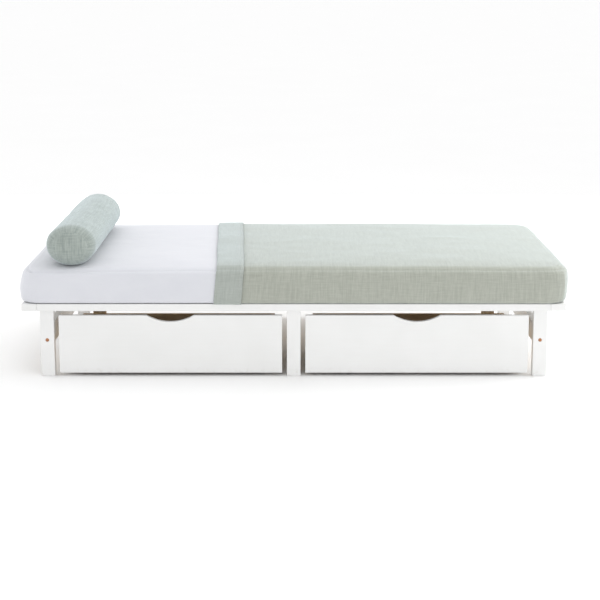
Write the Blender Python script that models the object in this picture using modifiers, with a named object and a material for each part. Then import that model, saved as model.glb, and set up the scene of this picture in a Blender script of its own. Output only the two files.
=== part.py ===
"""Low platform bed: a slatted deck on three trestles, two roll-out drawers, mattress and bedding.

Metres, +Z up. X runs from the head end (-X) to the foot end (+X), the drawers roll out towards -Y,
and the origin is on the floor under the middle of the bed.
"""

import math

import bmesh
import bpy
from mathutils import Vector

PLAY = 0.0003  # gap between pieces that touch
REACH = 0.002  # how far a cutting tool stands past the face it enters

# Deck: side rails, end boards and slats from one thickness of board
DECK_LENGTH = 1.980
DECK_WIDTH = 0.890
DECK_TOP = 0.272
BOARD_THICKNESS = 0.026
SIDE_RAIL_WIDTH = 0.060
END_BOARD_WIDTH = 0.055
SLAT_WIDTH = 0.100
SLAT_COUNT = 9
SLAT_END_PLAY = 0.001
BEARER_WIDTH = 0.022
BEARER_HEIGHT = 0.012

# Blocks that hang from the outermost slats and stop the drawers
STOP_WIDTH = 0.050
STOP_THICKNESS = 0.020
STOP_GAP = 0.002  # from a pushed-in drawer to its stop
STOP_OVERLAP = 0.020  # from the drawer box's upper edge down to the stop's lower end

# Trestles: a front leg, a back leg and the cross rail between them
LEG_WIDTH = 0.050
LEG_DEPTH = 0.030
LEG_END_INSET = 0.065  # from the deck's end to an end leg's outer face
LEG_SETBACK = 0.007  # from the side rail's outer face to the legs' outer faces
CROSS_RAIL_THICKNESS = 0.025
CROSS_RAIL_HEIGHT = 0.074
CROSS_RAIL_DROP = 0.065  # from the deck's underside to the cross rails' tops

# Wood joints: a tenon's size, and its clearance in the mortise
LEG_TENON_WIDTH = 0.030
LEG_TENON_DEPTH = 0.014
LEG_TENON_LENGTH = 0.016
RAIL_TENON_WIDTH = 0.032
RAIL_TENON_THICKNESS = 0.010
RAIL_TENON_LENGTH = 0.022
TENON_PLAY = 0.0004

# Furniture bolts through the end legs into the cross rails
BOLT_RISE = 0.029  # from a cross rail's lower edge to the bolt's axis
BOLT_RADIUS = 0.003
BOLT_LENGTH = 0.066
BOLT_HEAD_RADIUS = 0.0066
BOLT_HEAD_HEIGHT = 0.0042
BOLT_HEAD_ROUND = 0.0008
BOLT_RECESS = 0.0012  # from the leg's face to the head's top
BOLT_BORE_PLAY = 0.0004
BOLT_SOCKET_RADIUS = 0.0029
BOLT_SOCKET_DEPTH = 0.0024

# Drawer fronts
FRONT_THICKNESS = 0.016
FRONT_END_GAP = 0.0175  # from a leg to the end of the drawer front
FRONT_FLOOR_GAP = 0.012
FRONT_TOP_GAP = 0.018  # from the drawer front to the side rail over it
FRONT_SETBACK = 0.001  # from the legs' outer faces to the drawer front's
FINGER_CHORD = 0.173
FINGER_DEPTH = 0.024

# Drawer boxes behind the fronts
BOX_END_INSET = 0.032  # from the end of the front to the box's side
BOX_DEPTH = 0.364
BOX_DROP = 0.087  # from the front's top to the box's upper edge
BOX_BOTTOM = 0.024
BOX_PANEL_THICKNESS = 0.012
BOTTOM_THICKNESS = 0.003
GROOVE_DEPTH = 0.006
GROOVE_RISE = 0.007  # from the box's lower edge to the groove

# Castors on the outer faces of the box's sides
WHEEL_RADIUS = 0.020
WHEEL_WIDTH = 0.012
WHEEL_ROUND = 0.003
WHEEL_FLOOR_GAP = 0.0004
WHEEL_SIDE_PLAY = 0.0008
AXLE_RADIUS = 0.003
AXLE_PLAY = 0.0003
AXLE_CAP_RADIUS = 0.0052
AXLE_CAP_THICKNESS = 0.002
PLATE_THICKNESS = 0.0025
PLATE_WIDTH = 0.034
PLATE_BELOW_AXLE = 0.008
PLATE_ABOVE_EDGE = 0.036  # from the box's lower edge to the plate's top
CASTOR_INSET = 0.046  # from the box's front or back to an axle

# Mattress and bedding
OVERHANG_ENDS = 0.010  # how far the made-up mattress stands past the deck's ends
OVERHANG_SIDES = 0.005
MATTRESS_HEIGHT = 0.130
MATTRESS_CORNER_RADIUS = 0.060  # seen from above
MATTRESS_RIM_RADIUS = 0.026  # along the top and bottom edges
SHEET_THICKNESS = 0.001
COVER_THICKNESS = 0.003
COVER_START = 0.700  # from the mattress's head end to the cover
TUCK = 0.060  # how far sheet and cover reach under the mattress
BOLSTER_RADIUS = 0.081
BOLSTER_LENGTH = 0.820
BOLSTER_ROUND = 0.036
BOLSTER_FROM_HEAD = 0.188  # from the mattress's head end to the bolster's axis
BOLSTER_FROM_FRONT = 0.010  # from the mattress's front side to the bolster's end

# Edges and roundness of the made meshes
BOARD_ROUND = 0.0016
PANEL_ROUND = 0.0008
METAL_ROUND = 0.0004
ROUND_STEPS = 16
SOFT_STEPS = 28
ARC_STEPS = 130
CORNER_SEGMENTS = 4
RIM_SEGMENTS = 3

# Base colour, roughness and metallic value of each finish
FINISHES = {
    "white_paint": ((0.83, 0.84, 0.83), 0.45, 0.0),
    "bare_wood": ((0.42, 0.29, 0.17), 0.65, 0.0),
    "pine": ((0.62, 0.47, 0.30), 0.60, 0.0),
    "hardboard": ((0.26, 0.17, 0.10), 0.75, 0.0),
    "copper_steel": ((0.50, 0.27, 0.15), 0.35, 1.0),
    "zinc_steel": ((0.62, 0.62, 0.61), 0.40, 1.0),
    "grey_plastic": ((0.10, 0.10, 0.11), 0.50, 0.0),
    "white_cotton": ((0.84, 0.85, 0.90), 0.85, 0.0),
    "ticking": ((0.70, 0.69, 0.66), 0.90, 0.0),
    "sage_linen": ((0.55, 0.59, 0.54), 0.90, 0.0),
}

# Places that several pieces share
DECK_BOTTOM = DECK_TOP - BOARD_THICKNESS
SLAT_BOTTOM = DECK_BOTTOM + BEARER_HEIGHT + PLAY
RAIL_OUTER_Y = DECK_WIDTH / 2
RAIL_INNER_Y = RAIL_OUTER_Y - SIDE_RAIL_WIDTH
RAIL_END_X = DECK_LENGTH / 2 - END_BOARD_WIDTH
LEG_OUTER_Y = RAIL_OUTER_Y - LEG_SETBACK
LEG_INNER_Y = LEG_OUTER_Y - LEG_DEPTH
END_LEG_X = DECK_LENGTH / 2 - LEG_END_INSET - LEG_WIDTH / 2
TRESTLES = {"head": -END_LEG_X, "middle": 0.0, "foot": END_LEG_X}
SIDES = {"front": -1, "back": 1}
BAY_LENGTH = END_LEG_X - LEG_WIDTH
BAY_CENTRE = END_LEG_X / 2
FRONT_LENGTH = BAY_LENGTH - 2 * FRONT_END_GAP
FRONT_TOP = DECK_BOTTOM - FRONT_TOP_GAP
FRONT_OUTER_Y = -(LEG_OUTER_Y - FRONT_SETBACK)
FRONT_INNER_Y = FRONT_OUTER_Y + FRONT_THICKNESS
CROSS_RAIL_TOP = DECK_BOTTOM - CROSS_RAIL_DROP
CROSS_RAIL_BOTTOM = CROSS_RAIL_TOP - CROSS_RAIL_HEIGHT
BOLT_Z = CROSS_RAIL_BOTTOM + BOLT_RISE
BOX_OUTER = FRONT_LENGTH / 2 - BOX_END_INSET  # from the drawer's middle to a side's outer face
BOX_INNER = BOX_OUTER - BOX_PANEL_THICKNESS
BOX_START = FRONT_INNER_Y + PLAY
BOX_END = BOX_START + BOX_DEPTH
BOX_TOP = FRONT_TOP - BOX_DROP
AXLE_Z = WHEEL_FLOOR_GAP + WHEEL_RADIUS
SHEET_LAYER = PLAY + SHEET_THICKNESS
COVER_LAYER = PLAY + COVER_THICKNESS
MATTRESS_LENGTH = DECK_LENGTH + 2 * OVERHANG_ENDS - COVER_LAYER - 2 * SHEET_LAYER
MATTRESS_WIDTH = DECK_WIDTH + 2 * (OVERHANG_SIDES - COVER_LAYER - SHEET_LAYER)
MATTRESS_BOTTOM = DECK_TOP + PLAY + COVER_LAYER + SHEET_LAYER
MATTRESS_CENTRE_X = -COVER_LAYER / 2  # the cover adds to the foot end only
MATTRESS_MIDDLE = (MATTRESS_CENTRE_X, 0.0, MATTRESS_BOTTOM + MATTRESS_HEIGHT / 2)


def clear_scene():
    for thing in list(bpy.data.objects):
        bpy.data.objects.remove(thing)


def new_collection(name):
    made = bpy.data.collections.new(name)
    bpy.context.scene.collection.children.link(made)
    return made


def give_finish(piece, finish):
    colour, roughness, metallic = FINISHES[finish]
    made = bpy.data.materials.new(f"{piece.name}_{finish}")
    made.use_nodes = True
    shader = made.node_tree.nodes["Principled BSDF"]
    shader.inputs["Base Color"].default_value = (*colour, 1.0)
    shader.inputs["Roughness"].default_value = roughness
    shader.inputs["Metallic"].default_value = metallic
    piece.data.materials.append(made)


def place(name, shape, centre, finish):
    """Makes an object from a bmesh; without a finish it is a tool and goes with the cutters."""
    mesh = bpy.data.meshes.new(name)
    shape.to_mesh(mesh)
    shape.free()
    piece = bpy.data.objects.new(name, mesh)
    piece.location = centre
    if finish:
        BED.objects.link(piece)
        give_finish(piece, finish)
    else:
        CUTTERS.objects.link(piece)
        piece.hide_render = True
        piece.display_type = "WIRE"
    return piece


def soften(piece, width, segments=2):
    bevel = piece.modifiers.new("soft_edges", "BEVEL")
    bevel.width = width
    bevel.segments = segments
    bevel.limit_method = "ANGLE"
    bevel.angle_limit = math.radians(40)


def block(name, x, y, z, finish=None, edge=0.0):
    """A board between two values along each axis, with softened edges if edge is given."""
    low = Vector((min(x), min(y), min(z)))
    high = Vector((max(x), max(y), max(z)))
    shape = bmesh.new()
    bmesh.ops.create_cube(shape, size=1.0)
    bmesh.ops.scale(shape, vec=high - low, verts=shape.verts)
    piece = place(name, shape, (low + high) / 2, finish)
    if edge:
        soften(piece, edge)
    return piece


def rod(name, radius, length, centre, turn, finish=None, steps=ROUND_STEPS):
    """A straight cylinder along local Z, turned by the given Euler angles."""
    shape = bmesh.new()
    bmesh.ops.create_cone(
        shape, cap_ends=True, segments=steps, radius1=radius, radius2=radius, depth=length
    )
    piece = place(name, shape, centre, finish)
    piece.rotation_euler = turn
    return piece


def turned(name, outline, closed, centre, turn, finish=None, steps=ROUND_STEPS):
    """A turned piece: (radius, height) points spun round local Z, down the outer side first."""
    shape = bmesh.new()
    points = [shape.verts.new((radius, 0.0, height)) for radius, height in outline]
    ends = zip(points, points[1:] + points[:1]) if closed else zip(points, points[1:])
    for start, end in ends:
        shape.edges.new((start, end))
    piece = place(name, shape, centre, finish)
    piece.rotation_euler = turn
    screw = piece.modifiers.new("turned", "SCREW")
    screw.steps = steps
    screw.render_steps = steps
    screw.use_merge_vertices = True
    screw.merge_threshold = 0.0001
    return piece


def arc(centre, radius, start, end, steps):
    """Points on an arc in an outline, from one angle to another in degrees."""
    angles = [math.radians(start + (end - start) * i / steps) for i in range(steps + 1)]
    return [(centre[0] + radius * math.cos(a), centre[1] + radius * math.sin(a)) for a in angles]


def combine(piece, operation, *tools):
    for tool in tools:
        boolean = piece.modifiers.new(f"{operation.lower()}_{tool.name}", "BOOLEAN")
        boolean.operation = operation
        boolean.solver = "EXACT"
        boolean.object = tool


def cut(piece, *tools):
    combine(piece, "DIFFERENCE", *tools)


def join(piece, *tools):
    combine(piece, "UNION", *tools)


def empty(name, location):
    made = bpy.data.objects.new(name, None)
    made.location = location
    BED.objects.link(made)
    return made


def hang(piece, parent):
    """Parents a piece that stands in world coordinates to an unturned empty."""
    piece.location = piece.location - parent.location
    piece.parent = parent


# Frame


def leg(trestle, side):
    """A leg with a tenon at its top, and in the end trestles the holes for a bolt."""
    x = TRESTLES[trestle]
    outward = SIDES[side]
    y = outward * (LEG_OUTER_Y + LEG_INNER_Y) / 2
    top = DECK_BOTTOM - PLAY
    name = f"leg_{trestle}_{side}"
    post = block(
        name,
        (x - LEG_WIDTH / 2, x + LEG_WIDTH / 2),
        (outward * LEG_INNER_Y, outward * LEG_OUTER_Y),
        (0, top),
        "white_paint",
        BOARD_ROUND,
    )
    tenon = block(
        f"{name}_tenon",
        (x - LEG_TENON_WIDTH / 2, x + LEG_TENON_WIDTH / 2),
        (y - LEG_TENON_DEPTH / 2, y + LEG_TENON_DEPTH / 2),
        (top - REACH, top + LEG_TENON_LENGTH),
    )
    join(post, tenon)
    return post


def leg_mortise(trestle, side):
    """The tool that cuts the blind hole for a leg's tenon into the side rail."""
    x = TRESTLES[trestle]
    y = SIDES[side] * (LEG_OUTER_Y + LEG_INNER_Y) / 2
    half_width = LEG_TENON_WIDTH / 2 + TENON_PLAY
    half_depth = LEG_TENON_DEPTH / 2 + TENON_PLAY
    return block(
        f"leg_mortise_{trestle}_{side}",
        (x - half_width, x + half_width),
        (y - half_depth, y + half_depth),
        (DECK_BOTTOM - REACH, DECK_BOTTOM + LEG_TENON_LENGTH + TENON_PLAY),
    )


def side_rail(side):
    """A long deck board with a tenon at each end and a mortise over each of its legs."""
    outward = SIDES[side]
    end = RAIL_END_X - PLAY
    rail = block(
        f"side_rail_{side}",
        (-end, end),
        (outward * RAIL_INNER_Y, outward * RAIL_OUTER_Y),
        (DECK_BOTTOM, DECK_TOP),
        "white_paint",
        BOARD_ROUND,
    )
    y = outward * (RAIL_INNER_Y + RAIL_OUTER_Y) / 2
    z = (DECK_BOTTOM + DECK_TOP) / 2
    for end_name, along in (("head", -1), ("foot", 1)):
        tenon = block(
            f"rail_tenon_{end_name}_{side}",
            (along * (end - REACH), along * (end + RAIL_TENON_LENGTH)),
            (y - RAIL_TENON_WIDTH / 2, y + RAIL_TENON_WIDTH / 2),
            (z - RAIL_TENON_THICKNESS / 2, z + RAIL_TENON_THICKNESS / 2),
        )
        join(rail, tenon)
    cut(rail, *(leg_mortise(trestle, side) for trestle in TRESTLES))


def end_board(end_name, along):
    """A board across one end of the deck, with a mortise for each side rail."""
    board = block(
        f"end_board_{end_name}",
        (along * RAIL_END_X, along * DECK_LENGTH / 2),
        (-RAIL_OUTER_Y, RAIL_OUTER_Y),
        (DECK_BOTTOM, DECK_TOP),
        "white_paint",
        BOARD_ROUND,
    )
    z = (DECK_BOTTOM + DECK_TOP) / 2
    half_width = RAIL_TENON_WIDTH / 2 + TENON_PLAY
    half_thickness = RAIL_TENON_THICKNESS / 2 + TENON_PLAY
    for side, outward in SIDES.items():
        y = outward * (RAIL_INNER_Y + RAIL_OUTER_Y) / 2
        mortise = block(
            f"rail_mortise_{end_name}_{side}",
            (along * (RAIL_END_X - REACH), along * (RAIL_END_X + RAIL_TENON_LENGTH + TENON_PLAY)),
            (y - half_width, y + half_width),
            (z - half_thickness, z + half_thickness),
        )
        cut(board, mortise)


def slat_start(number):
    """Where along the deck a slat begins; the slats are evenly spaced between the end boards."""
    gap = (2 * RAIL_END_X - SLAT_COUNT * SLAT_WIDTH) / (SLAT_COUNT + 1)
    return -RAIL_END_X + gap + number * (gap + SLAT_WIDTH)


def slats():
    """Deck boards laid across the bearers, level with the side rails."""
    half = RAIL_INNER_Y - SLAT_END_PLAY
    for number in range(SLAT_COUNT):
        start = slat_start(number)
        block(
            f"slat_{number + 1:02d}",
            (start, start + SLAT_WIDTH),
            (-half, half),
            (SLAT_BOTTOM, DECK_TOP),
            "pine",
            BOARD_ROUND,
        )


def bearer(side):
    """A strip along the inner face of a side rail, under the slats' ends."""
    end = RAIL_END_X - PLAY
    outer = RAIL_INNER_Y - PLAY
    block(
        f"bearer_{side}",
        (-end, end),
        (SIDES[side] * outer, SIDES[side] * (outer - BEARER_WIDTH)),
        (DECK_BOTTOM, DECK_BOTTOM + BEARER_HEIGHT),
        "pine",
        BOARD_ROUND,
    )


def drawer_stop(hand, along):
    """A block under an outermost slat, level with its inner edge, behind a drawer's back."""
    inner = -slat_start(0) - SLAT_WIDTH
    start = BOX_END + STOP_GAP
    block(
        f"drawer_stop_{hand}",
        (along * inner, along * (inner + STOP_WIDTH)),
        (start, start + STOP_THICKNESS),
        (BOX_TOP - STOP_OVERLAP, SLAT_BOTTOM - PLAY),
        "bare_wood",
        BOARD_ROUND,
    )


def cross_rail(trestle):
    x = TRESTLES[trestle]
    half = LEG_INNER_Y - PLAY
    return block(
        f"cross_rail_{trestle}",
        (x - CROSS_RAIL_THICKNESS / 2, x + CROSS_RAIL_THICKNESS / 2),
        (-half, half),
        (CROSS_RAIL_BOTTOM, CROSS_RAIL_TOP),
        "white_paint",
        BOARD_ROUND,
    )


def bolt(name, x, outward):
    """A socket-head bolt that lies along Y with its head just inside the leg's outer face."""
    face = LEG_OUTER_Y - BOLT_RECESS
    crown = arc(
        (BOLT_HEAD_RADIUS - BOLT_HEAD_ROUND, -BOLT_HEAD_ROUND), BOLT_HEAD_ROUND, 90, 0, 2
    )
    outline = [
        (0.0, 0.0),
        *crown,
        (BOLT_HEAD_RADIUS, -BOLT_HEAD_HEIGHT),
        (BOLT_RADIUS, -BOLT_HEAD_HEIGHT),
        (BOLT_RADIUS, -BOLT_LENGTH),
        (0.0, -BOLT_LENGTH),
    ]
    turn = (-outward * math.pi / 2, 0, 0)
    piece = turned(name, outline, False, (x, outward * face, BOLT_Z), turn, "copper_steel")
    socket = rod(
        f"{name}_socket",
        BOLT_SOCKET_RADIUS,
        2 * BOLT_SOCKET_DEPTH,
        (x, outward * face, BOLT_Z),
        turn,
        steps=6,
    )
    cut(piece, socket)


def bolt_holes(name, x, outward):
    """The tools for a bolt's bore and for the wider hole that its head sits in."""
    turn = (math.pi / 2, 0, 0)
    head_seat = LEG_OUTER_Y - BOLT_RECESS - BOLT_HEAD_HEIGHT - PLAY
    tip = LEG_OUTER_Y - BOLT_RECESS - BOLT_LENGTH - REACH
    bore = rod(
        f"{name}_bore",
        BOLT_RADIUS + BOLT_BORE_PLAY,
        LEG_OUTER_Y + REACH - tip,
        (x, outward * (LEG_OUTER_Y + REACH + tip) / 2, BOLT_Z),
        turn,
    )
    seat = rod(
        f"{name}_seat",
        BOLT_HEAD_RADIUS + BOLT_BORE_PLAY,
        LEG_OUTER_Y + REACH - head_seat,
        (x, outward * (LEG_OUTER_Y + REACH + head_seat) / 2, BOLT_Z),
        turn,
    )
    return bore, seat


def trestle_set(trestle):
    """Two legs and their cross rail; the end trestles are bolted together."""
    rail = cross_rail(trestle)
    for side, outward in SIDES.items():
        post = leg(trestle, side)
        if trestle == "middle":
            continue
        name = f"bolt_{trestle}_{side}"
        bolt(name, TRESTLES[trestle], outward)
        bore, seat = bolt_holes(name, TRESTLES[trestle], outward)
        cut(post, bore, seat)
        cut(rail, bore)


# Drawers


def drawer_front(hand, x, groove):
    """The white front with a half-moon finger cut-out in its top edge."""
    front = block(
        f"{hand}_drawer_front",
        (x - FRONT_LENGTH / 2, x + FRONT_LENGTH / 2),
        (FRONT_OUTER_Y, FRONT_INNER_Y),
        (FRONT_FLOOR_GAP, FRONT_TOP),
        "white_paint",
    )
    radius = FINGER_CHORD**2 / (8 * FINGER_DEPTH) + FINGER_DEPTH / 2
    moon = rod(
        f"{hand}_finger_cut",
        radius,
        FRONT_THICKNESS + 2 * REACH,
        (x, (FRONT_OUTER_Y + FRONT_INNER_Y) / 2, FRONT_TOP - FINGER_DEPTH + radius),
        (math.pi / 2, 0, 0),
        steps=ARC_STEPS,
    )
    cut(front, moon)
    soften(front, BOARD_ROUND)
    cut(front, groove)
    return [front, moon]


def drawer_box(hand, x, groove):
    """Two sides, a back between them and a thin bottom that sits in a groove all round."""
    height = (BOX_BOTTOM, BOX_TOP)
    back_face = BOX_END - BOX_PANEL_THICKNESS
    panels = []
    for side, along in (("head", -1), ("foot", 1)):
        ends = (x + along * BOX_INNER, x + along * BOX_OUTER)
        name = f"{hand}_drawer_{side}_side"
        panels.append(block(name, ends, (BOX_START, BOX_END), height, "bare_wood", PANEL_ROUND))
    ends = (x - BOX_INNER + PLAY, x + BOX_INNER - PLAY)
    name = f"{hand}_drawer_back"
    panels.append(block(name, ends, (back_face, BOX_END), height, "bare_wood", PANEL_ROUND))
    for panel in panels:
        cut(panel, groove)
    tongue = GROOVE_DEPTH - PLAY
    floor = BOX_BOTTOM + GROOVE_RISE + PLAY
    bottom = block(
        f"{hand}_drawer_bottom",
        (x - BOX_INNER - tongue, x + BOX_INNER + tongue),
        (FRONT_INNER_Y - tongue, back_face + tongue),
        (floor, floor + BOTTOM_THICKNESS),
        "hardboard",
    )
    return [*panels, bottom]


def bottom_groove(hand, x):
    """The tool that cuts the groove for the drawer's bottom into front, sides and back."""
    floor = BOX_BOTTOM + GROOVE_RISE
    return block(
        f"{hand}_bottom_groove",
        (x - BOX_INNER - GROOVE_DEPTH, x + BOX_INNER + GROOVE_DEPTH),
        (FRONT_INNER_Y - GROOVE_DEPTH, BOX_END - BOX_PANEL_THICKNESS + GROOVE_DEPTH),
        (floor, floor + BOTTOM_THICKNESS + 2 * PLAY),
    )


def castor_bracket(name, face_x, outward, y):
    """A plate on the drawer's side with a capped axle that stands out from it."""
    plate = block(
        name,
        (face_x + outward * PLAY, face_x + outward * (PLAY + PLATE_THICKNESS)),
        (y - PLATE_WIDTH / 2, y + PLATE_WIDTH / 2),
        (AXLE_Z - PLATE_BELOW_AXLE, BOX_BOTTOM + PLATE_ABOVE_EDGE),
        "zinc_steel",
        METAL_ROUND,
    )
    root = PLAY + PLATE_THICKNESS / 2
    cap = PLAY + PLATE_THICKNESS + WHEEL_WIDTH + 2 * WHEEL_SIDE_PLAY
    end = cap + AXLE_CAP_THICKNESS
    outline = [
        (0.0, end),
        (AXLE_CAP_RADIUS, end),
        (AXLE_CAP_RADIUS, cap),
        (AXLE_RADIUS, cap),
        (AXLE_RADIUS, root),
        (0.0, root),
    ]
    turn = (0, outward * math.pi / 2, 0)
    axle = turned(f"{name}_axle", outline, False, (face_x, y, AXLE_Z), turn)
    join(plate, axle)
    return [plate, axle]


def castor_wheel(name, face_x, outward, y):
    """A wheel with a rounded tread on the bracket's axle; its origin is on the axis."""
    half = WHEEL_WIDTH / 2
    tread = arc((WHEEL_RADIUS - WHEEL_ROUND, half - WHEEL_ROUND), WHEEL_ROUND, 90, 0, 2)
    upper = [(AXLE_RADIUS + AXLE_PLAY, half), *tread]
    lower = [(radius, -height) for radius, height in reversed(upper)]
    middle = PLAY + PLATE_THICKNESS + WHEEL_SIDE_PLAY + half
    centre = (face_x + outward * middle, y, AXLE_Z)
    return turned(name, upper + lower, True, centre, (0, math.pi / 2, 0), "grey_plastic")


def castors(hand, x):
    """Four castors: two on each side of the box, near its front and its back."""
    rows = (("front", BOX_START + CASTOR_INSET), ("back", BOX_END - CASTOR_INSET))
    pieces = []
    for side, along in (("head", -1), ("foot", 1)):
        face = x + along * BOX_OUTER
        for row, y in rows:
            pieces += castor_bracket(f"{hand}_castor_{side}_{row}", face, along, y)
            pieces.append(castor_wheel(f"{hand}_wheel_{side}_{row}", face, along, y))
    return pieces


def drawer(hand, x):
    anchor = empty(f"{hand}_drawer", (x, FRONT_OUTER_Y, 0.0))
    groove = bottom_groove(hand, x)
    pieces = [groove, *drawer_front(hand, x, groove)]
    pieces += drawer_box(hand, x, groove)
    pieces += castors(hand, x)
    for piece in pieces:
        hang(piece, anchor)


# Mattress and bedding


def cushion_form(grow):
    """The mattress's rounded form about its own middle, larger by grow all round."""
    size = Vector((MATTRESS_LENGTH, MATTRESS_WIDTH, MATTRESS_HEIGHT)) + Vector.Fill(3, 2 * grow)
    shape = bmesh.new()
    bmesh.ops.create_cube(shape, size=1.0)
    bmesh.ops.scale(shape, vec=size, verts=shape.verts)
    for radius, segments, upright in (
        (MATTRESS_CORNER_RADIUS, CORNER_SEGMENTS, True),
        (MATTRESS_RIM_RADIUS, RIM_SEGMENTS, False),
    ):
        edges = [e for e in shape.edges if is_upright(e) == upright]
        bmesh.ops.bevel(
            shape,
            geom=edges,
            offset=radius + grow,
            segments=segments,
            profile=0.5,
            affect="EDGES",
        )
    return shape


def is_upright(edge):
    return abs(edge.verts[0].co.z - edge.verts[1].co.z) > PLAY


def open_underside(shape):
    """Takes out the middle of the underside, and leaves the edge that is tucked in under it."""
    floor = min(v.co.z for v in shape.verts)
    limit = Vector((MATTRESS_LENGTH / 2 - TUCK, MATTRESS_WIDTH / 2 - TUCK))

    def underside():
        return [f for f in shape.faces if f.calc_center_median().z < floor + PLAY]

    for axis, direction in ((0, -1), (0, 1), (1, -1), (1, 1)):
        normal = Vector((0.0, 0.0, 0.0))
        normal[axis] = direction
        flat = underside()
        around = {part for face in flat for part in (*face.edges, *face.verts)}
        bmesh.ops.bisect_plane(
            shape,
            geom=[*flat, *around],
            plane_co=normal * limit[axis],
            plane_no=normal,
        )
    middle = [
        f
        for f in underside()
        if abs(f.calc_center_median().x) < limit.x and abs(f.calc_center_median().y) < limit.y
    ]
    bmesh.ops.delete(shape, geom=middle, context="FACES")


def skin(name, grow, thickness, finish, start=None):
    """Cloth over the mattress, open underneath; with start it leaves out the head part."""
    shape = cushion_form(grow)
    if start is not None:
        bmesh.ops.bisect_plane(
            shape,
            geom=[*shape.verts, *shape.edges, *shape.faces],
            plane_co=(start - MATTRESS_LENGTH / 2, 0, 0),
            plane_no=(1, 0, 0),
            clear_inner=True,
        )
    open_underside(shape)
    piece = place(name, shape, MATTRESS_MIDDLE, finish)
    cloth = piece.modifiers.new("cloth_thickness", "SOLIDIFY")
    cloth.thickness = thickness
    cloth.offset = 1.0
    cloth.use_even_offset = True
    return piece


def bedding():
    """Mattress, fitted sheet and cover on one empty, and the bolster on the sheet."""
    set_pieces = [
        place("mattress", cushion_form(0.0), MATTRESS_MIDDLE, "ticking"),
        skin("fitted_sheet", PLAY, SHEET_THICKNESS, "white_cotton"),
        skin("cover", SHEET_LAYER + PLAY, COVER_THICKNESS, "sage_linen", COVER_START),
    ]
    anchor = empty("mattress_set", (MATTRESS_CENTRE_X, 0.0, DECK_TOP))
    for piece in set_pieces:
        hang(piece, anchor)

    top = MATTRESS_BOTTOM + MATTRESS_HEIGHT + SHEET_LAYER
    start_y = -MATTRESS_WIDTH / 2 + BOLSTER_FROM_FRONT
    axis = (
        MATTRESS_CENTRE_X - MATTRESS_LENGTH / 2 + BOLSTER_FROM_HEAD,
        start_y + BOLSTER_LENGTH / 2,
        top + PLAY + BOLSTER_RADIUS,
    )
    half = BOLSTER_LENGTH / 2
    end = arc((BOLSTER_RADIUS - BOLSTER_ROUND, half - BOLSTER_ROUND), BOLSTER_ROUND, 90, 0, 4)
    outline = [(0.0, half), *end, *((r, -h) for r, h in reversed(end)), (0.0, -half)]
    turned("bolster", outline, False, axis, (math.pi / 2, 0, 0), "sage_linen", SOFT_STEPS)


clear_scene()
BED = new_collection("platform_bed")
CUTTERS = new_collection("cutters")
for side_name in SIDES:
    side_rail(side_name)
    bearer(side_name)
end_board("head", -1)
end_board("foot", 1)
slats()
for trestle_name in TRESTLES:
    trestle_set(trestle_name)
for hand_name, hand_sign in (("left", -1), ("right", 1)):
    drawer_stop(hand_name, hand_sign)
    drawer(hand_name, hand_sign * BAY_CENTRE)
bedding()
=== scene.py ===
"""Looks of the made-up platform bed: paint, bare wood and metal, and the soft bedding."""

import math

import bmesh
import bpy
import numpy as np
from mathutils import Matrix, Vector, noise


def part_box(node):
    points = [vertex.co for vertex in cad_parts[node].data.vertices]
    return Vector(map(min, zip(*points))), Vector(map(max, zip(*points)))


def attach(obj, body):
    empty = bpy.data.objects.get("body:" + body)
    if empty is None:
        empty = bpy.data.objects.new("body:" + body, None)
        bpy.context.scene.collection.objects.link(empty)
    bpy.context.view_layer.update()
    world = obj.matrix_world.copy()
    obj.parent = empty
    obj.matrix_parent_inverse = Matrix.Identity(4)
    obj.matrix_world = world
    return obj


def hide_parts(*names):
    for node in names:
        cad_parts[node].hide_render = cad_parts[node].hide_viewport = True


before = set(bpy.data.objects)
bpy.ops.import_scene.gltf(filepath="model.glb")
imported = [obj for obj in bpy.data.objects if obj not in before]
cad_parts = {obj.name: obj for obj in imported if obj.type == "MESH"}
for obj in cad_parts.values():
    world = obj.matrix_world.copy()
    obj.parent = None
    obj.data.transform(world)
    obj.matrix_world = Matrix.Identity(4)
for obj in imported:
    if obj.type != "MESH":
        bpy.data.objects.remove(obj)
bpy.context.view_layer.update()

# Bedding layers: lifts and insets are measured from the mattress's face
CORE_INSET = 0.0012
SHEET_LIFT = 0.0008
SHEET_THICKNESS = 0.0009
COVER_LIFT = 0.0030
COVER_THICKNESS = 0.0016
BAND_LIFT = 0.0078
BAND_WIDTH = 0.098
TUCK = 0.056

# The mattress's rounded form, and the cell size of the grid it is drawn on
CORNER_RADIUS = 0.072
TOP_RIM = 0.027
BOTTOM_RIM = 0.007
CELL = 0.0135

# How the mattress's softness moves its faces
CROWN = 0.0035
TOP_EDGE_DROP = 0.0030
FRONT_EDGE_DROP = 0.0050
BELLY = 0.0045
TOP_WAVES = 0.0022
SIDE_WAVES = 0.0020
HEAD_LEAN = 0.018
HEAD_DROP = 0.006
HEAD_FRONT_DROP = 0.004
BOLSTER_DENT = 0.004
BOLSTER_DENT_REACH = 0.05

# The elastic hem under the mattress
HEM_INSET = 0.006
HEM_CORNER_RADIUS = 0.05
HEM_STEP = 0.012
HEM_RADIUS = 0.0011

# The cover's turned-down edge
TURN_COLUMNS = 8
FOLD_STEPS = 6
FOLD_REACH = 0.0035
FOLD_IN_BAND = 3
FREE_COLUMNS = 3
FREE_EDGE_LIFT = 0.0006
HEAD_LINE_REACH = 0.45

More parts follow.
